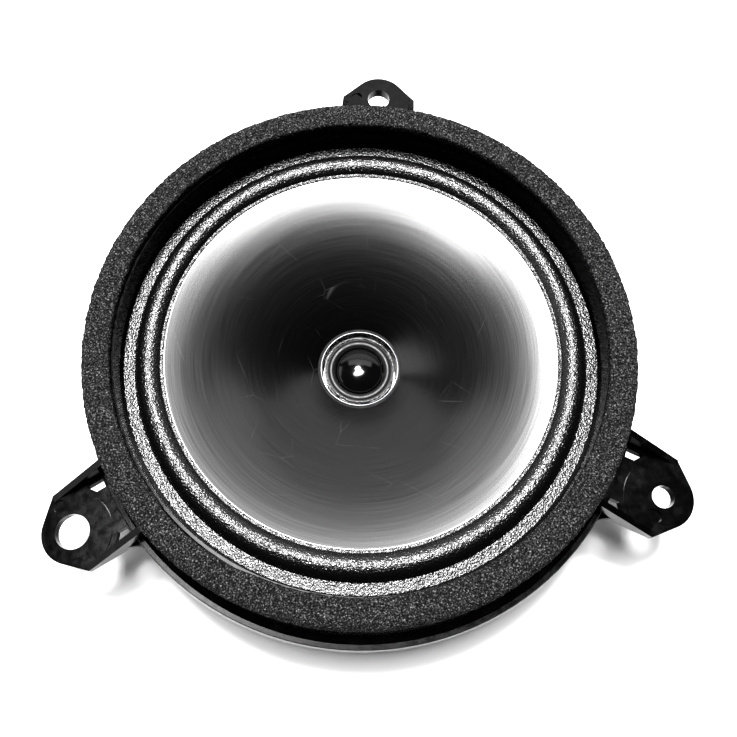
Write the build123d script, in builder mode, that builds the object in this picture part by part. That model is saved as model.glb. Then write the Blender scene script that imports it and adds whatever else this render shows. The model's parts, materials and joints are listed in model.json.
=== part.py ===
from build123d import *
from math import acos, atan2, cos, degrees, hypot, radians, sin
import os

# Coaxial car door speaker: a cone woofer with a small dome tweeter on its pole.
# Millimetres. The origin is the centre of the motor's rear face, +Z points out of
# the front along the speaker axis, and +Y points to the lone top ear.

os.makedirs("parts", exist_ok=True)

# ---------------------------------------------------------------- driving dimensions
overall_depth = 56.0        # rear face of the motor to the foam's front face
foam_thickness = 10.0
foam_outer_r = 83.0
foam_inner_r = 74.0
foam_seat_r = 75.15         # its inner radius lower down, outside the basket's lip
foam_shift_x = -0.5         # the gasket was laid slightly off centre

flange_z = overall_depth - foam_thickness
flange_thickness = 2.6
landing_z = 43.2            # ledge that carries the surround's outer edge
landing_inner_r = 69.7
landing_outer_r = 73.7
inner_lip_r = (73.8, 74.6)  # thin lip that stands inside the foam
inner_lip_z = 53.0
rim_outer_r = 88.2          # lower mounting flange
rim_top_z = 32.4            # bead round its edge, a little above the ears
rim_lip_r = 88.8            # lip below it
rim_lip_z = 22.5

ear_top_z = 31.0
ear_thickness = 3.0
ear_angles = {"top": 90.0, "left": 216.0, "right": 339.0}
ear_hole_r = {"top": 4.0, "left": 5.3, "right": 3.5}
ear_bolt_r = 103.1          # hole centres from the speaker axis
ear_nose_r = 9.8
ear_half_width = 13.1
ear_shoulder_u = 104.0      # where the parallel sides end, measured from the axis
ear_rib_thickness = 2.0
ear_rib_rise = 10.0
ear_root_u = 84.0
ear_boss_r = 12.0           # shallow round boss about each hole
ear_boss_rise = 0.5
ear_gap_r = 13.6            # round corner gaps between the ear's plate, its ribs and the rim
ear_gap_v = (7.2, 9.9)
ejector_marks = {"left": (103.1, -8.9, 2.05), "right": (102.3, -7.0, 2.4), "top": (103.4, 8.2, 2.1)}

cone_rim_r = 61.8
cone_seen_r = 60.8          # inside edge of the surround, where the bare cone starts
cone_rim_z = 44.8
cone_thickness = 0.6
neck_z = 24.4
roll_crest_z = 47.4
surround_thickness = 0.5

former_inner_r = 12.75
former_outer_r = 12.95
former_low_z = 9.0
former_top_z = 25.2
winding_outer_r = 13.45
winding_low_z = 9.6
winding_top_z = 18.4

yoke_r = 33.0
yoke_thickness = 4.5
pole_r = 12.4
magnet_outer_r = 35.0
magnet_inner_r = 16.0
top_plate_r = 31.0
top_plate_bore_r = 13.8
top_plate_low_z = 12.0
motor_seat_z = 16.0
motor_seat_top_z = 18.2
screw_circle_r = 26.0

spider_z = 22.6
spider_clamp_r = 30.0
spider_outer_r = 35.4
spider_thickness = 0.4
spider_wave = 0.75

pin_r = 2.9
wire_hole_y = 7.5
pedestal_r = 9.2
pedestal_top_z = 16.8
cup_outer_r = 10.6
cup_inner_r = 8.6
cup_floor = 1.4
cup_top_z = 21.0
tweeter_frame_r = 11.8
tweeter_face_z = 21.6       # foot of the dome
tweeter_rim_z = 22.85       # seat of the roll's outer edge
dome_r = 8.0
dome_rise = 3.6
dome_cap_curve = 14.5       # radius of curvature of the dome's shallow cap

glue_gap = 0.05             # bond line between a moving piece and a fixed flexible one


# ---------------------------------------------------------------- drawing helpers
def profile(*points):
    """A closed outline of (radius, height) points, inside the sketch that is open."""
    Polygon(*points, align=None)


def washer(inner_r, outer_r, low, high, mode=Mode.ADD):
    """A flat ring about the speaker axis, or a disc when inner_r is 0."""
    with BuildSketch(Plane.XY.offset(low)) as ring:
        Circle(outer_r)
        if inner_r > 0:
            Circle(inner_r, mode=Mode.SUBTRACT)
    extrude(ring.sketch, amount=high - low, mode=mode)


def upright(angle, across=0.0):
    """The plane that stands along a radius: x outwards, y up, moved sideways by across."""
    c = cos(radians(angle))
    s = sin(radians(angle))
    return Plane(origin=(-s * across, c * across, 0), x_dir=(c, s, 0), z_dir=(s, -c, 0))


def level(angle, height):
    """The horizontal plane at a height whose x axis points along a radius."""
    return Plane(
        origin=(0, 0, height),
        x_dir=(cos(radians(angle)), sin(radians(angle)), 0),
        z_dir=(0, 0, 1),
    )


def finish(builder, name):
    """Label a finished piece and write it."""
    builder.part.label = name
    export_step(builder.part, f"parts/{name}.step")


# ---------------------------------------------------------------- basket
# One moulding: foam flange, skirt, lower flange with three ears, and the inner bowl
# that carries the surround, the spider and the motor.
skirt_inner_top_r = 80.4
skirt_inner_low_r = 82.4
bowl_outer_r = 76.0
bowl_section = [
    (landing_inner_r, landing_z),
    (landing_outer_r, landing_z),
    (landing_outer_r, landing_z + 1.0),
    (inner_lip_r[0] + 0.15, landing_z + 1.0),
    (inner_lip_r[0], inner_lip_z),
    (inner_lip_r[1], inner_lip_z),
    (inner_lip_r[1], flange_z),
    (82.2, flange_z),
    (82.6, flange_z - 2.0),
    (84.2, 34.5),
    (84.6, 32.4),
    (86.2, 32.0),
    (86.6, rim_top_z),
    (rim_outer_r - 0.3, rim_top_z),
    (rim_outer_r, rim_top_z - 0.3),
    (rim_outer_r, ear_top_z),
    (rim_lip_r, ear_top_z - ear_thickness),
    (rim_lip_r, rim_lip_z),
    (86.8, rim_lip_z),
    (86.2, ear_top_z - ear_thickness),
    (skirt_inner_low_r, ear_top_z - ear_thickness),
    (skirt_inner_top_r, flange_z - flange_thickness),
    (bowl_outer_r, flange_z - flange_thickness),
    (bowl_outer_r, 41.4),
    (72.6, 39.6),
    (64.4, 26.6),
    (51.5, 18.9),
    (38.0, 18.0),
    (34.5, motor_seat_z),
    (20.0, motor_seat_z),
    (20.0, motor_seat_top_z),
    (spider_clamp_r, motor_seat_top_z),
    (spider_clamp_r, spider_z - spider_thickness / 2),
    (36.2, spider_z - spider_thickness / 2),
    (36.8, 20.4),
    (50.8, 21.2),
    (62.6, 28.4),
    (landing_inner_r, 40.6),
]

# the straight edge from an ear's shoulder runs tangent to the round nose
shoulder_dx = ear_shoulder_u - ear_bolt_r
shoulder_reach = hypot(shoulder_dx, ear_half_width)
tangent_angle = atan2(ear_half_width, shoulder_dx) - acos(ear_nose_r / shoulder_reach)
tangent_point = (ear_bolt_r + ear_nose_r * cos(tangent_angle), ear_nose_r * sin(tangent_angle))

with BuildSketch() as ear_outline:
    with BuildLine():
        Polyline(
            (tangent_point[0], -tangent_point[1]),
            (ear_shoulder_u, -ear_half_width),
            (ear_root_u, -ear_half_width),
            (ear_root_u, ear_half_width),
            (ear_shoulder_u, ear_half_width),
            tangent_point,
        )
        ThreePointArc(
            tangent_point,
            (ear_bolt_r + ear_nose_r, 0),
            (tangent_point[0], -tangent_point[1]),
        )
    make_face()

window_count = 6
window_angle = 40.0
web_count = 18
web_thickness = 1.6
connector_y = (42.0, 58.0)
connector_half_width = 8.0
pad_low_z = 15.0
pad_top_z = 20.2            # inside the bowl's wall
pad_reach = (42.0, 52.0)
pad_width = 14.0

with BuildPart() as basket:
    with BuildSketch(Plane.XZ):
        profile(*bowl_section)
    revolve(axis=Axis.Z)

    # webs between the bowl and the skirt
    for index in range(web_count):
        with BuildSketch(upright(10.0 + index * 360.0 / web_count, web_thickness / 2)):
            profile((67.4, 33.0), (72.4, 40.6), (75.0, 44.2), (81.2, 44.2), (83.0, 30.0), (80.0, 30.0))
        extrude(amount=web_thickness)

    # the lower flange and the ears, with a rounded corner where each ear leaves it
    with BuildSketch(Plane.XY.offset(ear_top_z - ear_thickness)) as flange_plan:
        Circle(rim_outer_r)
        for angle in ear_angles.values():
            with PolarLocations(0, 1, start_angle=angle):
                add(ear_outline.sketch)
        corners = [
            v
            for v in flange_plan.vertices()
            if abs(hypot(v.X, v.Y) - rim_outer_r) < 0.01 and abs(v.Y) > 0.01
        ]
        fillet(corners, 5.0)
        Circle(skirt_inner_low_r, mode=Mode.SUBTRACT)
    extrude(amount=ear_thickness)
    nose_edges = [
        e
        for e in basket.edges()
        if abs(e.center().Z - ear_top_z) < 0.01 and hypot(e.center().X, e.center().Y) > ear_bolt_r + 2.0
    ]
    fillet(nose_edges, 0.5)

    for name, angle in ear_angles.items():
        # shallow boss, stopped short of the ear's round nose
        with BuildSketch(level(angle, ear_top_z - 1.0)):
            with Locations((ear_bolt_r, 0)):
                Circle(ear_boss_r)
            with Locations((ear_bolt_r + 10.0, 0)):
                Rectangle(20.0, 2 * ear_boss_r, mode=Mode.SUBTRACT)
            with Locations((ear_bolt_r, 0)):
                Circle(ear_nose_r - 1.6)
        extrude(amount=1.0 + ear_boss_rise)
        # a tapering rib along each side of the ear
        for side in (-1, 1):
            rib_outside = side * ear_half_width + (1 - side) / 2 * ear_rib_thickness
            with BuildSketch(upright(angle, rib_outside)):
                profile(
                    (ear_shoulder_u, ear_top_z - 1.0),
                    (ear_shoulder_u, ear_top_z),
                    (ear_root_u - 1.5, ear_top_z + ear_rib_rise),
                    (ear_root_u - 1.5, ear_top_z - 1.0),
                )
            extrude(amount=ear_rib_thickness)
            with BuildSketch(level(angle, ear_top_z - ear_thickness)):
                with Locations((93.0, side * sum(ear_gap_v) / 2)):
                    Rectangle(10.0, ear_gap_v[1] - ear_gap_v[0])
                with Locations((ear_bolt_r, 0)):
                    Circle(ear_gap_r, mode=Mode.SUBTRACT)
                Circle(rim_lip_r, mode=Mode.SUBTRACT)
            extrude(amount=ear_thickness + ear_boss_rise, mode=Mode.SUBTRACT)
        with BuildSketch(level(angle, ear_top_z - ear_thickness)):
            with Locations((ear_bolt_r, 0)):
                Circle(ear_hole_r[name])
        extrude(amount=ear_thickness + ear_boss_rise, mode=Mode.SUBTRACT)
        # shallow round mark of an ejector pin
        mark_u, mark_v, mark_r = ejector_marks[name]
        with BuildSketch(level(angle, ear_top_z + ear_boss_rise)):
            with Locations((mark_u, mark_v)):
                Circle(mark_r)
        extrude(amount=-ear_boss_rise - 0.3, mode=Mode.SUBTRACT)

    # pads under the bowl for the connector and for the capacitor
    for angle in (90.0, 150.0):
        with BuildSketch(level(angle, pad_low_z)):
            with Locations((sum(pad_reach) / 2, 0)):
                Rectangle(pad_reach[1] - pad_reach[0], pad_width)
        extrude(amount=pad_top_z - pad_low_z)

    # windows through the bowl, clear of the six spokes
    for index in range(window_count):
        middle = 120.0 + index * 360.0 / window_count
        start = middle - window_angle / 2
        with BuildSketch(Plane.XY.offset(pad_low_z - 1.0)):
            with BuildLine():
                near = CenterArc((0, 0), 39.5, start, window_angle)
                far = CenterArc((0, 0), 62.0, start, window_angle)
                Line(near @ 0, far @ 0)
                Line(near @ 1, far @ 1)
            make_face()
        extrude(amount=18.0, mode=Mode.SUBTRACT)

    # clearance holes for the motor screws and slots for the solder tabs
    with BuildSketch(Plane.XY.offset(motor_seat_z)):
        with PolarLocations(screw_circle_r, 4, start_angle=45):
            Circle(1.7)
    extrude(amount=motor_seat_top_z - motor_seat_z, mode=Mode.SUBTRACT)
    with BuildSketch(Plane.XY.offset(pad_low_z)):
        with Locations((-3.5, 46.0), (3.5, 46.0)):
            Rectangle(2.2, 0.9)
    extrude(amount=8.0, mode=Mode.SUBTRACT)
finish(basket, "basket")

# ---------------------------------------------------------------- foam gasket
foam_step_z = inner_lip_z + 0.1
with BuildPart() as foam_gasket:
    for low, high, inside in ((flange_z, foam_step_z, foam_seat_r), (foam_step_z, overall_depth, foam_inner_r)):
        with BuildSketch(Plane.XY.offset(low)):
            with Locations((foam_shift_x, 0)):
                Circle(foam_outer_r)
                Circle(inside, mode=Mode.SUBTRACT)
        extrude(amount=high - low)
    front_edges = foam_gasket.edges().group_by(Axis.Z)[-1].sort_by(SortBy.RADIUS)
    fillet(front_edges[-1], 3.0)
    front_edges = foam_gasket.edges().group_by(Axis.Z)[-1].sort_by(SortBy.RADIUS)
    fillet(front_edges[0], 0.8)
finish(foam_gasket, "foam_gasket")

# ---------------------------------------------------------------- cone and surround
cone_middle = (38.0, 37.4)
with BuildPart() as cone:
    with BuildSketch(Plane.XZ):
        with BuildLine():
            ThreePointArc((former_outer_r + 0.05, neck_z), cone_middle, (cone_seen_r, cone_rim_z))
            Polyline(
                (cone_seen_r, cone_rim_z),
                (cone_rim_r, cone_rim_z),
                (cone_rim_r, cone_rim_z - cone_thickness),
                (cone_seen_r, cone_rim_z - cone_thickness),
            )
            ThreePointArc(
                (cone_seen_r, cone_rim_z - cone_thickness),
                (cone_middle[0] + 0.2, cone_middle[1] - cone_thickness),
                (former_outer_r + 0.05, neck_z - 0.8),
            )
            Line((former_outer_r + 0.05, neck_z - 0.8), (former_outer_r + 0.05, neck_z))
        make_face()
    revolve(axis=Axis.Z)
finish(cone, "cone")

roll_inner_r = cone_rim_r
roll_middle_r = (roll_inner_r + landing_inner_r) / 2
roll_inner_foot_r = roll_inner_r + surround_thickness
roll_outer_foot_r = landing_inner_r - surround_thickness
inner_flange_z = cone_rim_z + glue_gap
with BuildPart() as surround:
    with BuildSketch(Plane.XZ):
        with BuildLine():
            Polyline(
                (roll_inner_r, inner_flange_z),
                (cone_seen_r, inner_flange_z),
                (cone_seen_r, inner_flange_z + surround_thickness),
                (roll_inner_r, inner_flange_z + surround_thickness),
            )
            ThreePointArc(
                (roll_inner_r, inner_flange_z + surround_thickness),
                (roll_middle_r, roll_crest_z),
                (landing_inner_r, landing_z + surround_thickness),
            )
            Polyline(
                (landing_inner_r, landing_z + surround_thickness),
                (landing_outer_r - 0.2, landing_z + surround_thickness),
                (landing_outer_r - 0.2, landing_z),
                (landing_inner_r, landing_z),
            )
            Line((landing_inner_r, landing_z), (roll_outer_foot_r, landing_z))
            ThreePointArc(
                (roll_outer_foot_r, landing_z),
                (roll_middle_r, roll_crest_z - surround_thickness),
                (roll_inner_foot_r, inner_flange_z),
            )
            Line((roll_inner_foot_r, inner_flange_z), (roll_inner_r, inner_flange_z))
        make_face()
    revolve(axis=Axis.Z)
finish(surround, "surround")

# ---------------------------------------------------------------- voice coil
with BuildPart() as voice_coil_former:
    washer(former_inner_r, former_outer_r, former_low_z, former_top_z)
finish(voice_coil_former, "voice_coil_former")

with BuildPart() as voice_coil:
    washer(former_outer_r, winding_outer_r, winding_low_z, winding_top_z)
finish(voice_coil, "voice_coil")

with BuildPart() as neck_glue_ring:
    with BuildSketch(Plane.XZ):
        profile((former_outer_r, 24.45), (13.9, 25.02), (13.5, 25.08), (former_outer_r, 24.98))
    revolve(axis=Axis.Z)
finish(neck_glue_ring, "neck_glue_ring")

# ---------------------------------------------------------------- spider
spider_inner_r = former_outer_r + glue_gap
spider_half_waves = 8
wave_start_r = spider_inner_r + 1.0
wave_pitch = (spider_clamp_r - wave_start_r) / spider_half_waves


def corrugation(height, outward=True):
    """Half waves, one after the other, from the hub to the clamp or back again."""
    steps = range(spider_half_waves) if outward else reversed(range(spider_half_waves))
    for step in steps:
        near = wave_start_r + step * wave_pitch
        crest = height + (spider_wave if step % 2 else -spider_wave)
        ends = [(near, height), (near + wave_pitch, height)]
        if not outward:
            ends.reverse()
        ThreePointArc(ends[0], (near + wave_pitch / 2, crest), ends[1])


spider_top_z = spider_z + spider_thickness / 2
spider_low_z = spider_z - spider_thickness / 2
with BuildPart() as spider:
    with BuildSketch(Plane.XZ):
        with BuildLine():
            Line((spider_inner_r, spider_top_z), (wave_start_r, spider_top_z))
            corrugation(spider_top_z)
            Polyline(
                (spider_clamp_r, spider_top_z),
                (spider_outer_r, spider_top_z),
                (spider_outer_r, spider_low_z),
                (spider_clamp_r, spider_low_z),
            )
            corrugation(spider_low_z, outward=False)
            Polyline(
                (wave_start_r, spider_low_z),
                (spider_inner_r, spider_low_z),
                (spider_inner_r, spider_top_z),
            )
        make_face()
    revolve(axis=Axis.Z)
finish(spider, "spider")

with BuildPart() as spider_clamp_ring:
    washer(30.8, spider_outer_r, spider_z + spider_thickness / 2, spider_z + 1.4)
finish(spider_clamp_ring, "spider_clamp_ring")

# ---------------------------------------------------------------- motor
with BuildPart() as yoke:
    washer(0, yoke_r, 0, yoke_thickness)
    chamfer(yoke.edges().group_by(Axis.Z)[0], 0.8)
    washer(0, pole_r, yoke_thickness, motor_seat_z)
    # blind bore for the tweeter's fixing pin
    washer(0, pin_r, 8.0, motor_seat_z, mode=Mode.SUBTRACT)
    # hole down the pole for the tweeter's leads, and their groove across the rear face
    with BuildSketch(Plane.XY):
        with Locations((0, wire_hole_y)):
            SlotCenterToCenter(1.2, 2.2)
    extrude(amount=motor_seat_z, mode=Mode.SUBTRACT)
    with BuildSketch(Plane.XY):
        with Locations((0, (wire_hole_y + yoke_r + 2.0) / 2)):
            Rectangle(3.4, yoke_r + 2.0 - wire_hole_y)
    extrude(amount=2.4, mode=Mode.SUBTRACT)
finish(yoke, "yoke")

with BuildPart() as magnet:
    washer(magnet_inner_r, magnet_outer_r, yoke_thickness, top_plate_low_z)
    chamfer(magnet.edges().filter_by(GeomType.CIRCLE).sort_by(SortBy.RADIUS)[-2:], 0.8)
finish(magnet, "magnet")

with BuildPart() as top_plate:
    washer(top_plate_bore_r, top_plate_r, top_plate_low_z, motor_seat_z)
    with BuildSketch(Plane.XY.offset(motor_seat_z)):
        with PolarLocations(screw_circle_r, 4, start_angle=45):
            Circle(1.25)
    extrude(amount=-3.0, mode=Mode.SUBTRACT)
finish(top_plate, "top_plate")

with BuildPart() as motor_screws:
    with BuildSketch(Plane.XY.offset(motor_seat_top_z)):
        with PolarLocations(screw_circle_r, 4, start_angle=45):
            Circle(2.4)
    extrude(amount=1.3)
    fillet(motor_screws.edges().group_by(Axis.Z)[-1], 0.5)
    with BuildSketch(Plane.XY.offset(motor_seat_top_z)):
        with PolarLocations(screw_circle_r, 4, start_angle=45):
            Circle(1.25)
    extrude(amount=-5.0)
    with BuildSketch(Plane.XY.offset(motor_seat_top_z + 1.3)):
        with PolarLocations(screw_circle_r, 4, start_angle=45):
            Rectangle(2.6, 0.6)
            Rectangle(0.6, 2.6)
    extrude(amount=-0.7, mode=Mode.SUBTRACT)
finish(motor_screws, "motor_screws")

# ---------------------------------------------------------------- tweeter, fixed pieces
with BuildPart() as tweeter_pin:
    washer(0, pin_r, 8.0, motor_seat_z)
finish(tweeter_pin, "tweeter_pin")

with BuildPart() as tweeter_pedestal:
    washer(0, pedestal_r, motor_seat_z, pedestal_top_z)
    with BuildSketch(Plane.XY.offset(motor_seat_z)):
        with Locations((0, wire_hole_y)):
            SlotCenterToCenter(1.2, 2.0)
    extrude(amount=pedestal_top_z - motor_seat_z, mode=Mode.SUBTRACT)
finish(tweeter_pedestal, "tweeter_pedestal")

with BuildPart() as tweeter_cup:
    washer(0, cup_outer_r, pedestal_top_z, cup_top_z)
    washer(0, cup_inner_r, pedestal_top_z + cup_floor, cup_top_z, mode=Mode.SUBTRACT)
    chamfer(tweeter_cup.edges().group_by(Axis.Z)[0], 0.5)
finish(tweeter_cup, "tweeter_cup")

with BuildPart() as tweeter_magnet:
    washer(0, 6.4, pedestal_top_z + cup_floor, 19.6)
finish(tweeter_magnet, "tweeter_magnet")

with BuildPart() as tweeter_top_plate:
    washer(0, 7.45, 19.6, 20.8)
finish(tweeter_top_plate, "tweeter_top_plate")

with BuildPart() as tweeter_frame:
    washer(9.4, tweeter_frame_r, cup_top_z, tweeter_face_z)
    washer(10.45, tweeter_frame_r, tweeter_face_z, tweeter_rim_z)
    washer(cup_outer_r + 0.05, tweeter_frame_r, cup_top_z - 2.6, cup_top_z)
finish(tweeter_frame, "tweeter_frame")

tweeter_flange_z = tweeter_rim_z + 0.25
with BuildPart() as tweeter_clamp_ring:
    washer(10.85, tweeter_frame_r - 0.1, tweeter_flange_z + glue_gap, tweeter_flange_z + 0.85)
    fillet(tweeter_clamp_ring.edges().group_by(Axis.Z)[-1], 0.3)
finish(tweeter_clamp_ring, "tweeter_clamp_ring")

# ---------------------------------------------------------------- tweeter, moving pieces
dome_thickness = 0.25
dome_crown_z = tweeter_face_z + dome_rise
cap_centre_z = dome_crown_z - dome_cap_curve

# the dome's edge is an arc that is tangent to the cap and upright at its foot
edge_side = dome_cap_curve - dome_r
edge_drop = tweeter_face_z - cap_centre_z
edge_offset = (edge_side ** 2 + edge_drop ** 2) / (2 * edge_side)
edge_curve = dome_cap_curve - edge_offset
cap_angle = degrees(acos(edge_drop / edge_offset))

with BuildPart() as tweeter_dome:
    with BuildSketch(Plane.XZ):
        with BuildLine():
            CenterArc((0, cap_centre_z), dome_cap_curve, 90 - cap_angle, cap_angle)
            CenterArc((dome_r - edge_curve, tweeter_face_z), edge_curve, 0, 90 - cap_angle)
            Line((dome_r, tweeter_face_z), (dome_r - dome_thickness, tweeter_face_z))
            CenterArc((dome_r - edge_curve, tweeter_face_z), edge_curve - dome_thickness, 0, 90 - cap_angle)
            CenterArc((0, cap_centre_z), dome_cap_curve - dome_thickness, 90 - cap_angle, cap_angle)
            Line((0, dome_crown_z - dome_thickness), (0, dome_crown_z))
        make_face()
    revolve(axis=Axis.Z)
finish(tweeter_dome, "tweeter_dome")

with BuildPart() as tweeter_coil:
    washer(dome_r - 0.25, dome_r, 18.6, tweeter_face_z)
finish(tweeter_coil, "tweeter_coil")

# half roll that climbs from the dome's foot to the rim of the tweeter's frame
with BuildPart() as tweeter_roll:
    with BuildSketch(Plane.XZ):
        with BuildLine():
            ThreePointArc((8.05, 21.8), (8.85, 23.2), (10.45, tweeter_flange_z))
            Polyline(
                (10.45, tweeter_flange_z),
                (11.3, tweeter_flange_z),
                (11.3, tweeter_rim_z),
                (10.45, tweeter_rim_z),
            )
            ThreePointArc((10.45, tweeter_rim_z), (8.94, 23.02), (8.25, 21.8))
            Line((8.25, 21.8), (8.05, 21.8))
        make_face()
    revolve(axis=Axis.Z)
finish(tweeter_roll, "tweeter_roll")

# ---------------------------------------------------------------- connections
socket_wall = 1.4
connector_low_z = 4.0
with BuildPart() as terminal_block:
    with BuildSketch(Plane.XY.offset(connector_low_z)):
        with Locations((0, sum(connector_y) / 2)):
            RectangleRounded(2 * connector_half_width, connector_y[1] - connector_y[0], 1.0)
    extrude(amount=pad_low_z - connector_low_z)
    # plug socket, open outwards
    with BuildSketch(Plane.XZ.offset(-connector_y[1])):
        with Locations((0, (connector_low_z + pad_low_z) / 2)):
            Rectangle(
                2 * (connector_half_width - socket_wall),
                pad_low_z - connector_low_z - 2 * socket_wall,
            )
    extrude(amount=11.0, mode=Mode.SUBTRACT)
    # passages for the solder tabs and the blades through the back wall
    with BuildSketch(Plane.XY.offset(pad_low_z)):
        with Locations((-3.5, 46.0), (3.5, 46.0)):
            Rectangle(2.2, 0.9)
    extrude(amount=-5.0, mode=Mode.SUBTRACT)
    with BuildSketch(Plane.XZ.offset(-connector_y[1] + 11.0)):
        with Locations((-3.5, 9.5), (3.5, 9.5)):
            Rectangle(2.4, 0.8)
    extrude(amount=3.0, mode=Mode.SUBTRACT)
finish(terminal_block, "terminal_block")

with BuildPart() as terminal_blades:
    with BuildSketch(Plane.XZ.offset(-55.0)):
        with Locations((-3.5, 9.5), (3.5, 9.5)):
            Rectangle(2.4, 0.8)
    extrude(amount=11.0)
finish(terminal_blades, "terminal_blades")

with BuildPart() as solder_tabs:
    with BuildSketch(Plane.XY.offset(10.0)):
        with Locations((-3.5, 46.0), (3.5, 46.0)):
            Rectangle(2.2, 0.9)
    extrude(amount=15.0)
finish(solder_tabs, "solder_tabs")

capacitor_angle = 150.0
capacitor_r = 5.0
capacitor_z = pad_low_z - capacitor_r
with BuildPart() as crossover_capacitor:
    with BuildSketch(upright(capacitor_angle, -10.0)):
        with Locations((50.0, capacitor_z)):
            Circle(capacitor_r)
    extrude(amount=-20.0)
    fillet(crossover_capacitor.edges().filter_by(GeomType.CIRCLE), 0.6)
finish(crossover_capacitor, "crossover_capacitor")

lead_r = 0.4
with BuildPart() as capacitor_leads:
    for route in (
        [(-38.30, 33.66), (-35.80, 38.00), (-14.0, 48.0), (-8.0, 48.0)],
        [(-48.30, 16.34), (-50.55, 12.44), (-56.6, 15.9), (-43.4, 38.9), (-14.0, 54.0), (-8.0, 54.0)],
    ):
        with BuildLine(Plane.XY.offset(capacitor_z)) as lead_path:
            FilletPolyline(*route, radius=2.0)
        with BuildSketch(Plane(lead_path.line @ 0, z_dir=lead_path.line % 0)):
            Circle(lead_r)
        sweep(path=lead_path.line)
finish(capacitor_leads, "capacitor_leads")

tweeter_lead_r = 0.5
tweeter_lead_route = [
    (wire_hole_y, pedestal_top_z),
    (wire_hole_y, 1.2),
    (37.2, 1.2),
    (37.2, 8.0),
    (connector_y[0], 8.0),
]
with BuildPart() as tweeter_leads:
    for offset in (-0.65, 0.65):
        with BuildLine(Plane.YZ.offset(offset)) as lead_path:
            FilletPolyline(*tweeter_lead_route, radius=1.2)
        with BuildSketch(Plane(lead_path.line @ 0, z_dir=lead_path.line % 0)):
            Circle(tweeter_lead_r)
        sweep(path=lead_path.line)
finish(tweeter_leads, "tweeter_leads")

# flexible leads from the solder tabs to two anchors under the cone
tinsel_x = 3.5
anchor_section = [(22.8, 29.1), (25.2, 30.4), (25.2, 28.9), (22.8, 27.7)]
with BuildPart() as lead_anchors:
    for angle in (82.0, 98.0):
        with BuildSketch(upright(angle, 1.2)):
            profile(*anchor_section)
        extrude(amount=2.4)
finish(lead_anchors, "lead_anchors")

with BuildPart() as tinsel_leads:
    for side in (-1, 1):
        with BuildLine(Plane.YZ.offset(side * tinsel_x)) as lead_path:
            ThreePointArc((44.7, 24.2), (35.2, 28.2), (25.6, 28.4))
        with BuildSketch(Plane(lead_path.line @ 0, z_dir=lead_path.line % 0)):
            Circle(0.6)
        sweep(path=lead_path.line)
finish(tinsel_leads, "tinsel_leads")
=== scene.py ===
import json
from itertools import product
from math import cos, pi, radians, sin, tan

import bpy
import numpy as np
from mathutils import Euler, Matrix, Vector


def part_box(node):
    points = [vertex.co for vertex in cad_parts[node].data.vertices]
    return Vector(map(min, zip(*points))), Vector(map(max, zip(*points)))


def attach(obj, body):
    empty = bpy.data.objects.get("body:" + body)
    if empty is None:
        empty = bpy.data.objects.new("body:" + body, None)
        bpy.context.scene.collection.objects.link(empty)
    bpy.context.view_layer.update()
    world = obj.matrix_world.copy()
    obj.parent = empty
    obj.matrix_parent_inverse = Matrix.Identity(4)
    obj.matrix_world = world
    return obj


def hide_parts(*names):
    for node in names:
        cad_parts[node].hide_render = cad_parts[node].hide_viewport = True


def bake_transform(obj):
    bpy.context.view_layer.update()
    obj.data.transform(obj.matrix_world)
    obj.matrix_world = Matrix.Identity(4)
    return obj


# The looks of a coaxial car door speaker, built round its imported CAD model.
# Metres, +Z out of the front along the speaker axis, +Y towards the lone top ear.
# Outlines of turned pieces are (radius, height) pairs in millimetres.

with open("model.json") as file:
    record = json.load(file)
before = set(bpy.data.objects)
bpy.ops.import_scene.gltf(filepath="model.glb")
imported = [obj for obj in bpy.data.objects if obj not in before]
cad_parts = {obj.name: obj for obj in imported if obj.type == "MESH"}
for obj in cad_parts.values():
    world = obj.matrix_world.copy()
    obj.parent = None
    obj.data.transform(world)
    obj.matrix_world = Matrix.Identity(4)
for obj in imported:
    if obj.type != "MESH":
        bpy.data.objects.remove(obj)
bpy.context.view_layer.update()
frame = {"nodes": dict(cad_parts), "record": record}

MM = 0.001


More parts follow.
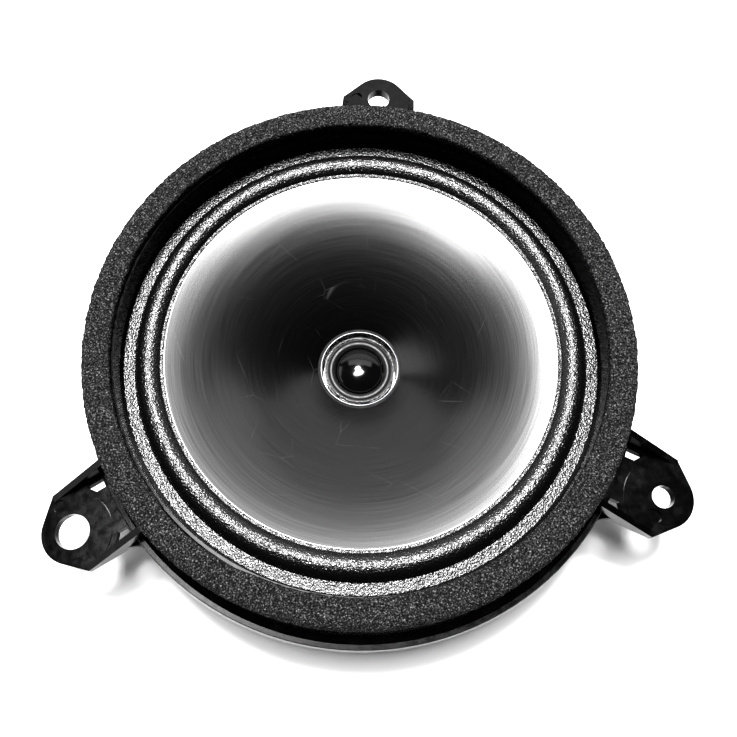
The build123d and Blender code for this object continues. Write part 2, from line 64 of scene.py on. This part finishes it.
# ---------------------------------------------------------------- materials
class Look:
    """A procedural material: one Principled shader and the nodes that feed it."""

    def __init__(self, name, **fixed):
        self.material = bpy.data.materials.new(name + "_look")
        self.material.use_nodes = True
        self.tree = self.material.node_tree
        self.shader = self.tree.nodes["Principled BSDF"]
        for socket, value in fixed.items():
            self.shader.inputs[socket.replace("_", " ")].default_value = value
        self.place = self.tree.nodes.new("ShaderNodeTexCoord").outputs["Object"]

    def add(self, kind, inputs, **settings):
        """A new node with its inputs set or linked."""
        node = self.tree.nodes.new(kind)
        for key, value in settings.items():
            setattr(node, key, value)
        for socket, value in inputs.items():
            self.feed(node.inputs[socket], value)
        return node

    def feed(self, socket, value):
        """Link a socket to another node's output, or set it to a plain value."""
        if isinstance(value, bpy.types.NodeSocket):
            self.tree.links.new(value, socket)
        else:
            socket.default_value = value

    def noise(self, size, detail=2.0, place=None):
        """Smooth noise from 0 to 1, with features about size millimetres across."""
        inputs = {"Vector": place or self.place, "Scale": 1 / (size * MM), "Detail": detail}
        return self.add("ShaderNodeTexNoise", inputs).outputs["Fac"]

    def cells(self, size, place=None, **settings):
        """Distance to the middle of a cell, with cells about size millimetres across."""
        inputs = {"Vector": place or self.place, "Scale": 1 / (size * MM)}
        return self.add("ShaderNodeTexVoronoi", inputs, **settings).outputs["Distance"]

    def ramp(self, value, *stops):
        """A colour or a grey for each value, from (value, colour) stops."""
        node = self.add("ShaderNodeValToRGB", {"Fac": value})
        band = node.color_ramp.elements
        while len(band) < len(stops):
            band.new(0.5)
        for element, (at, colour) in zip(band, stops):
            element.position = at
            grey = isinstance(colour, (int, float))
            element.color = (colour, colour, colour, 1) if grey else (*colour, 1)
        return node.outputs["Color"]

    def mix(self, factor, first, second):
        """The first colour where factor is 0, the second where it is 1."""
        node = self.tree.nodes.new("ShaderNodeMix")
        node.data_type = "RGBA"
        self.feed(node.inputs[0], factor)
        for socket, value in ((node.inputs[6], first), (node.inputs[7], second)):
            self.feed(socket, (*value, 1) if isinstance(value, tuple) else value)
        return node.outputs[2]

    def maths(self, operation, first, second=0.0):
        return self.add("ShaderNodeMath", {0: first, 1: second}, operation=operation).outputs[0]

    def cylinder(self):
        """Distance from the speaker axis, direction away from it, and height."""
        split = self.add("ShaderNodeSeparateXYZ", {0: self.place})
        level = self.add("ShaderNodeCombineXYZ", {0: split.outputs[0], 1: split.outputs[1]})
        reach = self.add("ShaderNodeVectorMath", {0: level.outputs[0]}, operation="LENGTH")
        heading = self.add("ShaderNodeVectorMath", {0: level.outputs[0]}, operation="NORMALIZE")
        return reach.outputs["Value"], heading.outputs[0], split.outputs[2]

    def turned(self, across, around):
        """Coordinates that run across and around the speaker axis, for turning lines."""
        reach, heading, _ = self.cylinder()
        ends = self.add("ShaderNodeSeparateXYZ", {0: heading})
        place = {
            0: self.maths("MULTIPLY", ends.outputs[0], around * MM),
            1: self.maths("MULTIPLY", ends.outputs[1], around * MM),
            2: self.maths("MULTIPLY", reach, across),
        }
        return self.add("ShaderNodeCombineXYZ", place).outputs[0]

    def colour(self, value):
        self.feed(self.shader.inputs["Base Color"], value)

    def roughness(self, value):
        self.feed(self.shader.inputs["Roughness"], value)

    def bump(self, height, depth):
        """Raise the surface by up to depth millimetres where height is 1."""
        bumped = self.add("ShaderNodeBump", {"Height": height, "Distance": depth * MM})
        self.feed(self.shader.inputs["Normal"], bumped.outputs["Normal"])


def basket_plastic():
    """Glossy black plastic with a dusty haze, dull on the wall of the inner lip."""
    look = Look("basket_plastic")
    reach, _, height = look.cylinder()
    inside = look.maths("LESS_THAN", reach, 74.5 * MM)
    below_top = look.maths("LESS_THAN", height, 52.8 * MM)
    wall = look.maths("MULTIPLY", inside, below_top)
    shine = look.maths("SUBTRACT", 0.22, look.maths("MULTIPLY", wall, 0.2))
    look.feed(look.shader.inputs["Specular IOR Level"], shine)
    haze = look.ramp(look.noise(5.0, 7), (0.52, 0.0), (0.8, 1.0))
    specks = look.ramp(look.cells(1.1), (0.03, 1.0), (0.08, 0.0))
    dull = look.mix(haze, (0.001, 0.001, 0.001), (0.008, 0.008, 0.008))
    look.colour(look.mix(look.maths("MULTIPLY", specks, haze), dull, (0.12, 0.12, 0.115)))
    look.roughness(look.ramp(look.noise(2.2, 6), (0.3, 0.12), (0.75, 0.22)))
    look.bump(look.noise(0.3, 3), 0.008)
    return look


def foam():
    """Open-cell foam: paler, dusty fibres round near-black pores, which are painted shade standing in for
    the holes.
    """
    look = Look("foam", Roughness=1.0, Specular_IOR_Level=0.05)
    # painted shade: the middle of each cell is coloured near black, as the shade inside a pore
    pores = look.ramp(look.cells(0.75, feature="DISTANCE_TO_EDGE"), (0.0, 1.0), (0.3, 0.25))
    fibres = look.noise(0.45, 3)
    tone = look.ramp(fibres, (0.38, 0.004), (0.54, 0.026), (0.64, 0.1), (0.76, 0.32))
    look.colour(look.mix(pores, (0.005, 0.005, 0.005), tone))
    look.bump(look.noise(0.5, 3), 0.35)
    return look


def cone_skin():
    """Dark lacquered cone with turning lines, a few hairline marks and dust."""
    look = Look("cone_skin")
    lines = look.noise(1.0, 5, place=look.turned(3.2, 2.0))
    hairs = look.ramp(look.cells(15.0, feature="DISTANCE_TO_EDGE"), (0.0, 1.0), (0.006, 0.0))
    hairs = look.maths("MULTIPLY", hairs, look.ramp(look.noise(18.0, 2), (0.5, 0.0), (0.62, 0.5)))
    dust = look.ramp(look.cells(2.4), (0.025, 0.6), (0.04, 0.0))
    marks = look.maths("MAXIMUM", hairs, dust)
    look.colour(look.ramp(lines, (0.3, 0.056), (0.7, 0.07)))
    look.feed(look.shader.inputs["Metallic"], look.maths("SUBTRACT", 1.0, marks))
    look.roughness(look.maths("ADD", look.maths("MULTIPLY", lines, 0.07), 0.195))
    look.bump(lines, 0.0015)
    return look


def surround_cloth():
    """Coated cloth with a glossy, coarse grain."""
    look = Look("surround_cloth", Specular_IOR_Level=0.7)
    grain = look.noise(0.42, 1)
    look.colour(look.ramp(grain, (0.4, 0.001), (0.7, 0.005)))
    look.roughness(look.ramp(grain, (0.35, 0.35), (0.65, 0.16)))
    look.bump(look.noise(0.5, 1), 0.22)
    return look


def spider_cloth():
    """Resin-stiffened tan weave."""
    look = Look("spider_cloth", Roughness=0.8)
    weave = look.cells(0.6)
    look.colour(look.ramp(weave, (0.0, (0.42, 0.29, 0.12)), (0.7, (0.22, 0.14, 0.05))))
    look.bump(weave, 0.08)
    return look


def clamp_card():
    """Pressed black card."""
    look = Look("clamp_card", Roughness=0.85)
    look.colour(look.ramp(look.noise(0.8, 4), (0.3, 0.02), (0.7, 0.05)))
    look.bump(look.noise(0.4, 3), 0.04)
    return look


def turned_metal(name, colour, low, high):
    """Plated or ground metal with turning lines."""
    look = Look(name, Metallic=1.0)
    lines = look.noise(1.0, 3, place=look.turned(5.0, 0.8))
    shade = tuple(0.8 * c for c in colour)
    look.colour(look.ramp(look.noise(6.0, 4), (0.3, shade), (0.7, colour)))
    look.roughness(look.ramp(lines, (0.3, low), (0.7, high)))
    look.bump(lines, 0.006)
    return look


def ferrite():
    """Dull sintered ceramic."""
    look = Look("ferrite", Specular_IOR_Level=0.5)
    look.colour(look.ramp(look.noise(1.5, 5), (0.3, 0.015), (0.7, 0.04)))
    look.roughness(look.ramp(look.noise(5.0, 3), (0.3, 0.55), (0.7, 0.8)))
    look.bump(look.noise(0.25, 4), 0.04)
    return look


def coil_wire():
    """Lacquered copper wire, wound with a pitch of 0.18 mm, with painted shade in the grooves between
    turns and a painted highlight on each crest.
    """
    look = Look("coil_wire", Metallic=0.8, Roughness=0.3)
    height = look.cylinder()[2]
    turns = look.maths("SINE", look.maths("MULTIPLY", height, 2 * pi / (0.18 * MM)))
    # painted shade and highlight: each turn is coloured dark in its groove and light on its crest
    look.colour(look.ramp(turns, (0.0, (0.16, 0.05, 0.02)), (1.0, (0.55, 0.22, 0.09))))
    look.bump(turns, 0.03)
    return look


def plain_plastic(name, dark, light, low, high, depth=0.02, specular=0.5):
    """Moulded plastic or lacquered film, uneven in gloss."""
    look = Look(name, Specular_IOR_Level=specular)
    look.colour(look.ramp(look.noise(4.0, 4), (0.3, dark), (0.7, light)))
    look.roughness(look.ramp(look.noise(1.6, 3), (0.3, low), (0.7, high)))
    look.bump(look.noise(0.4, 3), depth)
    return look


def braid():
    """Braided copper strands."""
    look = Look("tinsel", Metallic=0.9, Roughness=0.35)
    strands = look.cells(0.35)
    look.colour(look.ramp(strands, (0.0, (0.75, 0.45, 0.28)), (0.7, (0.25, 0.12, 0.06))))
    look.bump(strands, 0.12)
    return look


looks = {
    "basket_plastic": basket_plastic(),
    "foam": foam(),
    "cone_skin": cone_skin(),
    "surround_cloth": surround_cloth(),
    "spider_cloth": spider_cloth(),
    "clamp_card": clamp_card(),
    "ferrite": ferrite(),
    "coil_wire": coil_wire(),
    "tinsel": braid(),
}

# colour, then lowest and highest roughness
metals = {
    "plated_steel": ((0.56, 0.56, 0.55), 0.25, 0.4),
    "screw_steel": ((0.42, 0.42, 0.42), 0.25, 0.45),
    "former_film": ((0.1, 0.1, 0.105), 0.35, 0.45),
    "neodymium": ((0.6, 0.6, 0.6), 0.08, 0.2),
    "tinned_brass": ((0.66, 0.62, 0.5), 0.2, 0.35),
}
for name, values in metals.items():
    looks[name] = turned_metal(name, *values)

# darkest and lightest colour, lowest and highest roughness, then bump depth and shine
plastics = {
    "glue": (0.04, 0.12, 0.12, 0.26, 0.05),
    "black_glue": (0.002, 0.004, 0.5, 0.65, 0.01, 0.2),
    "tweeter_plastic": (0.006, 0.014, 0.3, 0.5),
    "dome_film": (0.001, 0.002, 0.09, 0.13, 0.001, 0.6),
    "roll_film": (0.004, 0.008, 0.34, 0.46, 0.01, 0.35),
    "connector_plastic": (0.008, 0.016, 0.35, 0.55),
    "capacitor_sleeve": ((0.01, 0.02, 0.06), (0.02, 0.03, 0.09), 0.12, 0.25),
    "lead_wire": (0.006, 0.012, 0.35, 0.5),
}
for name, values in plastics.items():
    looks[name] = plain_plastic(name, *values)

for subpart in frame["record"]["subparts"]:
    node = frame["nodes"][subpart["node"]]
    node.data.materials[0] = looks[subpart["material_slot"]].material


# ---------------------------------------------------------------- mesh helpers
def random_field(points, cell, seed):
    """Smooth noise from -1 to 1 at an array of points, with bumps about one cell wide."""
    table = np.random.default_rng(seed).uniform(-1, 1, 8192)
    grid = points / cell
    base = np.floor(grid).astype(np.int64)
    part = grid - base
    part = part * part * (3 - 2 * part)
    total = np.zeros(len(points))
    for corner in product((0, 1), repeat=3):
        place = (base + corner) @ np.array([73856093, 19349663, 83492791])
        share = np.prod(np.where(corner, part, 1 - part), axis=1)
        total += share * table[place % len(table)]
    return total


def outline(corners, spacing):
    """Evenly spaced points along a closed line of (radius, height, fillet) corners."""
    line = []
    for index, (r, z, fillet) in enumerate(corners):
        here = Vector((r, z))
        before = (Vector(corners[index - 1][:2]) - here).normalized()
        after = (Vector(corners[(index + 1) % len(corners)][:2]) - here).normalized()
        reach = fillet / tan(before.angle(after) / 2)
        for t in np.linspace(0, 1, 9 if fillet else 1):
            start = here + before * reach
            end = here + after * reach
            line.append(start.lerp(here, t).lerp(here.lerp(end, t), t))
    line = np.array(line + line[:1])
    along = np.append(0, np.cumsum(np.hypot(*np.diff(line, axis=0).T)))
    at = np.linspace(0, along[-1], int(along[-1] / spacing), endpoint=False)
    return np.stack([np.interp(at, along, line[:, 0]), np.interp(at, along, line[:, 1])], axis=1)


def arc(start, middle, end, count):
    """Points along the circle through three (radius, height) points, both ends included."""
    a, b, c = (complex(*p) for p in (start, middle, end))
    w = (c - a) / (b - a)
    centre = a + (b - a) * (w - abs(w) ** 2) / (2j * w.imag)
    first = np.angle(a - centre)
    turn = np.angle((c - centre) / (a - centre))
    half = np.angle((b - centre) / (a - centre))
    if half * turn < 0 or abs(half) > abs(turn):
        turn -= 2 * pi * np.sign(turn)
    sweep = centre + abs(a - centre) * np.exp(1j * (first + np.linspace(0, turn, count)))
    return [(p.real, p.imag) for p in sweep]


def lathe(name, line, steps, slot, texture=None, crease=40):
    """A ring: a closed line of (radius, height) points in mm, turned round the axis."""
    line = np.array(line) * MM
    turns = np.linspace(0, 2 * pi, steps, endpoint=False)
    slope = np.roll(line, -1, axis=0) - np.roll(line, 1, axis=0)
    facing = np.stack([slope[:, 1], -slope[:, 0]], axis=1)
    facing /= np.linalg.norm(facing, axis=1)[:, None]

    def spun(pair):
        flat = np.outer(np.cos(turns), pair[:, 0]), np.outer(np.sin(turns), pair[:, 0])
        high = np.broadcast_to(pair[:, 1], flat[0].shape)
        return np.stack([*flat, high], axis=-1).reshape(-1, 3)

    points, normals = spun(line), spun(facing)
    if texture:
        points = points + normals * texture(points, normals)[:, None]
    here = np.arange(len(line))
    beside = (here + 1) % len(line)
    ring = np.arange(steps)[:, None] * len(line)
    following = np.roll(ring, -1, axis=0)
    quads = np.stack([ring + here, following + here, following + beside, ring + beside], axis=-1)
    return shape(name, points, quads.reshape(-1, 4).tolist(), slot, crease)


def shape(name, points, faces, slot, crease=40):
    """A smooth-shaded mesh object with the look of a material slot."""
    mesh = bpy.data.meshes.new(name)
    mesh.from_pydata(points.tolist(), [], faces)
    mesh.shade_smooth()
    mesh.set_sharp_from_angle(angle=radians(crease))
    mesh.materials.append(looks[slot].material)
    piece = bpy.data.objects.new(name, mesh)
    bpy.context.scene.collection.objects.link(piece)
    return piece


def stretch(piece):
    """Bake a ring's placement into its mesh."""
    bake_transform(piece)


def reach_of(node):
    """Lowest height, highest height and greatest radius of a CAD node, in mm."""
    low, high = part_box(node)
    return low.z / MM, high.z / MM, (high.x - low.x) / 2 / MM


# ---------------------------------------------------------------- foam gasket
foam_low, foam_high, foam_r = reach_of("foam_gasket")
foam_step = 53.15
foam_seat_r = foam_r - 7.8
foam_mouth_r = foam_r - 9.0
pore_room = 0.4
foam_corners = [
    (foam_seat_r, foam_low, 0.3),
    (foam_r - pore_room, foam_low, 0.3),
    (foam_r - pore_room, foam_high - pore_room, 2.8),
    (foam_mouth_r, foam_high - pore_room, 0.9),
    (foam_mouth_r, foam_step, 0.3),
    (foam_seat_r, foam_step, 0.3),
]


def foam_texture(points, normals):
    """Torn pores on the open faces, none where the foam lies against the basket."""
    coarse = random_field(points, 1.5 * MM, 1)
    medium = random_field(points, 0.8 * MM, 2)
    fine = random_field(points, 0.5 * MM, 3)
    reach, height = np.hypot(points[:, 0], points[:, 1]) / MM, points[:, 2] / MM
    free = np.clip((height - foam_low) / 0.8, 0, 1)
    free *= np.clip(np.maximum((reach - foam_r + 6) / 2, (height - foam_step) / 1.5), 0.1, 1)
    depth = 0.12 * coarse + 0.34 * np.minimum(medium, 0.1) + 0.2 * fine
    return free * np.clip(depth, -0.8, 0.36) * MM


foam_ring = lathe("foam_ring", outline(foam_corners, 0.4), 1240, "foam", foam_texture, 180)
foam_shift = (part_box("foam_gasket")[0].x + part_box("foam_gasket")[1].x) / 2
foam_ring.data.transform(Matrix.Translation((foam_shift, 0, 0)))

# along the lower left the mouth of the foam is pressed back from the basket's lip
press_angle, press_half_width, press_depth = 237, 13, 0.8
press_low = (foam_step - 1) * MM
for vertex in foam_ring.data.vertices:
    x, y, z = vertex.co
    turn = abs((np.degrees(np.arctan2(y, x)) % 360 - press_angle) / press_half_width)
    if turn < 1 and z > press_low:
        reach = np.hypot(x, y)
        near = np.clip(1 - (reach / MM - foam_mouth_r) / 3, 0, 1)
        press = 1 + press_depth * MM * near * (1 - turn ** 4) / reach
        vertex.co = (x * press, y * press, z)
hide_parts("foam_gasket")
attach(foam_ring, "frame")

# ---------------------------------------------------------------- cone
cone_low, cone_high, cone_r = reach_of("cone")
neck_r = 13.0
cone_seen_r = 60.8
cone_wall = 0.6
cone_face = arc((neck_r, cone_low + 0.8), (38.0, 37.4), (cone_seen_r, cone_high), 170)
cone_back = arc((cone_seen_r, cone_high - cone_wall), (38.2, 36.8), (neck_r, cone_low), 50)
cone_rim = [(cone_r, cone_high), (cone_r, cone_high - cone_wall)]


def cone_texture(points, normals):
    """Faint turning waves on the face that fade out before both edges."""
    reach = np.hypot(points[:, 0], points[:, 1]) / MM
    share = np.clip((reach - 30) / 14, 0, 1) * np.clip((59 - reach) / 4, 0, 1)
    level = np.stack([reach, 0 * reach, 0 * reach], axis=1)
    rings = random_field(level, 1.7, 5) + 0.5 * random_field(level, 0.8, 6)
    return -0.003 * share * (1.5 + rings) * MM


cone_shell = lathe("cone_shell", cone_face + cone_rim + cone_back, 840, "cone_skin", cone_texture)
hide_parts("cone")
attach(cone_shell, "cone_assembly")

# ---------------------------------------------------------------- surround
roll_low, roll_high, landing_r = reach_of("surround")
landing_top = roll_low + 0.5
seam_low = cone_high + 0.05
seam_top = seam_low + 0.5
roll_feet = (61.8, 69.7)
roll_middle = sum(roll_feet) / 2
seam = [(r, seam_top) for r in (cone_seen_r, 61.05, 61.3, 61.55)]
roll = arc((roll_feet[0], seam_top), (roll_middle, roll_high), (roll_feet[1], landing_top), 50)
landing = [(r, landing_top) for r in np.linspace(69.95, landing_r - 0.15, 18)]
landing_edge = [(landing_r, landing_top - 0.1), (landing_r, roll_low), (71.0, roll_low)]
under_feet = (roll_feet[1] - 0.5, roll_low), (roll_feet[0] + 0.5, seam_low)
under_roll = arc(under_feet[0], (roll_middle, roll_high - 0.5), under_feet[1], 24)
surround_line = [(cone_seen_r, seam_low)] + seam + roll + landing + landing_edge + under_roll


def surround_texture(points, normals):
    """A coarse coated grain on the side that faces out."""
    coarse = random_field(points, 0.6 * MM, 7)
    fine = random_field(points, 0.38 * MM, 8)
    top = np.clip(normals[:, 2] * 4, 0, 1)
    return top * np.clip(0.03 * coarse + 0.05 * fine - 0.08, -0.3, 0) * MM


surround_ring = lathe("surround_ring", surround_line[::-1], 1640, "surround_cloth", surround_texture, 180)
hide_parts("surround")
stretch(surround_ring)

# ---------------------------------------------------------------- spider
spider_low, spider_high, spider_r = reach_of("spider")
spider_mid = (spider_low + spider_high) / 2
hub_r, waves_r, clamp_r = 13.0, 14.0, 30.0
spider_reach = np.concatenate([[hub_r], np.linspace(waves_r, clamp_r, 97), [spider_r]])
wave = np.sin(pi * (spider_reach - waves_r) / 2) * (spider_reach > waves_r) * (spider_reach < clamp_r)
spider_up = list(zip(spider_reach, spider_mid + 0.2 - 0.74 * wave))
spider_down = list(zip(spider_reach, spider_mid - 0.2 - 0.74 * wave))
spider_web = lathe("spider_web", spider_down + spider_up[::-1], 540, "spider_cloth")
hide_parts("spider")
stretch(spider_web)

# ---------------------------------------------------------------- tweeter
dome_foot_z, flange_top_z, film = 21.8, 23.1, 0.25
flange_inner_r, flange_r = 10.45, 11.3
crest_out, crest_in = (8.85, 23.2), (8.94, 23.02)
tweeter_line = (
    arc((8.05, dome_foot_z), crest_out, (flange_inner_r, flange_top_z), 40)
    + [(flange_r, flange_top_z), (flange_r, flange_top_z - film)]
    + arc((flange_inner_r, flange_top_z - film), crest_in, (8.25, dome_foot_z), 20)
)
tweeter_surround = lathe("tweeter_surround", tweeter_line[::-1], 480, "roll_film")
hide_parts("tweeter_roll")
stretch(tweeter_surround)


def bead(name, node, inner_r, slot, body, seed):
    """An uneven ring of adhesive in the place of a CAD ring, inside its box."""
    low, high, outer_r = reach_of(node)
    middle_r, middle_z = (inner_r + outer_r) / 2, (low + high) / 2
    wide, tall = (outer_r - inner_r) / 2, (high - low) / 2
    angles = np.linspace(0, 2 * pi, 28, endpoint=False)
    line = np.stack([middle_r + wide * np.cos(angles), middle_z + tall * np.sin(angles)], axis=1)

    def lumps(points, normals):
        along = points * [1, 1, 0.3]
        swell = random_field(along, 1.6 * MM, seed) + 0.7 * random_field(along, 0.7 * MM, seed + 1)
        return np.clip(0.3 * (swell - 0.8), -0.45, 0) * MM

    ring = lathe(name, line, 900, slot, lumps, 180)
    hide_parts(node)
    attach(ring, body)


bead("tweeter_bead", "tweeter_clamp_ring", 10.85, "glue", "frame", 11)

# ---------------------------------------------------------------- flexible leads
def braided(name, routes, radius, lobes, pitch, slot):
    """Twisted strands along each route: points in mm, in a plane of constant x."""
    points, faces = [], []
    sides, steps = 30, 160
    for x, route in routes:
        line = np.array(arc(*route, steps))
        slope = np.gradient(line, axis=0)
        slope /= np.linalg.norm(slope, axis=1)[:, None]
        along = np.append(0, np.cumsum(np.hypot(*np.diff(line, axis=0).T)))
        base = len(points)
        for (y, z), (dy, dz), s in zip(line, slope, along):
            for angle in np.linspace(0, 2 * pi, sides, endpoint=False):
                reach = radius * (0.86 + 0.14 * cos(lobes * angle + 2 * pi * s / pitch))
                up = reach * sin(angle)
                points.append((x + reach * cos(angle), y - dz * up, z + dy * up))
        for step in range(steps - 1):
            for side in range(sides):
                here = base + step * sides
                beside = (side + 1) % sides
                faces.append((here + side, here + beside, here + sides + beside, here + sides + side))
        faces.append(tuple(base + side for side in reversed(range(sides))))
        faces.append(tuple(base + (steps - 1) * sides + side for side in range(sides)))
    return shape(name, np.array(points) * MM, faces, slot, 50)


tinsel_route = ((44.7, 24.2), (35.2, 28.2), (25.6, 28.4))
tinsel = braided("tinsel_braid", [(-3.5, tinsel_route), (3.5, tinsel_route)], 0.58, 5, 3.0, "tinsel")
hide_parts("tinsel_leads")
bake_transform(tinsel)

# ---------------------------------------------------------------- camera, floor, light
floor_mesh = bpy.data.meshes.new("floor")
floor_corners = [(-3, -3, 0), (3, -3, 0), (3, 3, 0), (-3, 3, 0)]
floor_mesh.from_pydata(floor_corners, [], [(0, 1, 2, 3)])
floor_look = Look("floor", Roughness=0.6)
floor_look.colour(floor_look.ramp(floor_look.noise(60.0, 3), (0.3, 0.78), (0.7, 0.82)))
floor_mesh.materials.append(floor_look.material)
floor = bpy.data.objects.new("floor", floor_mesh)
bpy.context.scene.collection.objects.link(floor)

camera = bpy.data.objects.new("camera", bpy.data.cameras.new("camera"))
camera.location = (0.0015, -0.0779, 0.2604)
camera.rotation_euler = Euler((radians(18.28), radians(-0.03), radians(4.16)))
camera.data.lens = 36.15
camera.data.sensor_width = 36.0
camera.data.shift_x = 0.0285
camera.data.clip_start = 0.01
bpy.context.scene.collection.objects.link(camera)
bpy.context.scene.camera = camera


def soft_box(name, lean, distance, size, radiance, form="RECTANGLE"):
    """A flat light that faces the speaker, leaning from overhead by degrees to +X and +Y."""
    light = bpy.data.lights.new(name, "AREA")
    light.shape = form
    light.size, light.size_y = size
    light.energy = radiance * pi * size[0] * size[1]
    lamp = bpy.data.objects.new(name, light)
    heading = Vector((tan(radians(lean[0])), tan(radians(lean[1])), 1)).normalized()
    lamp.location = Vector((0, 0, 0.03)) + distance * heading
    lamp.rotation_euler = heading.to_track_quat("Z", "Y").to_euler()
    bpy.context.scene.collection.objects.link(lamp)


soft_box("key_light", (-4.0, 17.0), 2.5, (0.56, 0.56), 120, "ELLIPSE")
soft_box("front_fill", (-2.0, 5.5), 2.5, (1.3, 0.7), 19, "ELLIPSE")
soft_box("high_band", (0.0, 37.0), 2.4, (2.6, 0.7), 1.6)
soft_box("back_wall", (0.0, 64.0), 2.2, (6.0, 1.3), 1.0)
soft_box("left_window", (-68.0, 0.0), 2.0, (1.7, 1.3), 1.4)

world = bpy.data.worlds.new("studio")
world.use_nodes = True
world.node_tree.nodes["Background"].inputs["Color"].default_value = (1, 1, 1, 1)
world.node_tree.nodes["Background"].inputs["Strength"].default_value = 0.03
bpy.context.scene.world = world
bpy.context.scene.view_settings.view_transform = "Standard"
bpy.context.scene.view_settings.look = "Medium High Contrast"
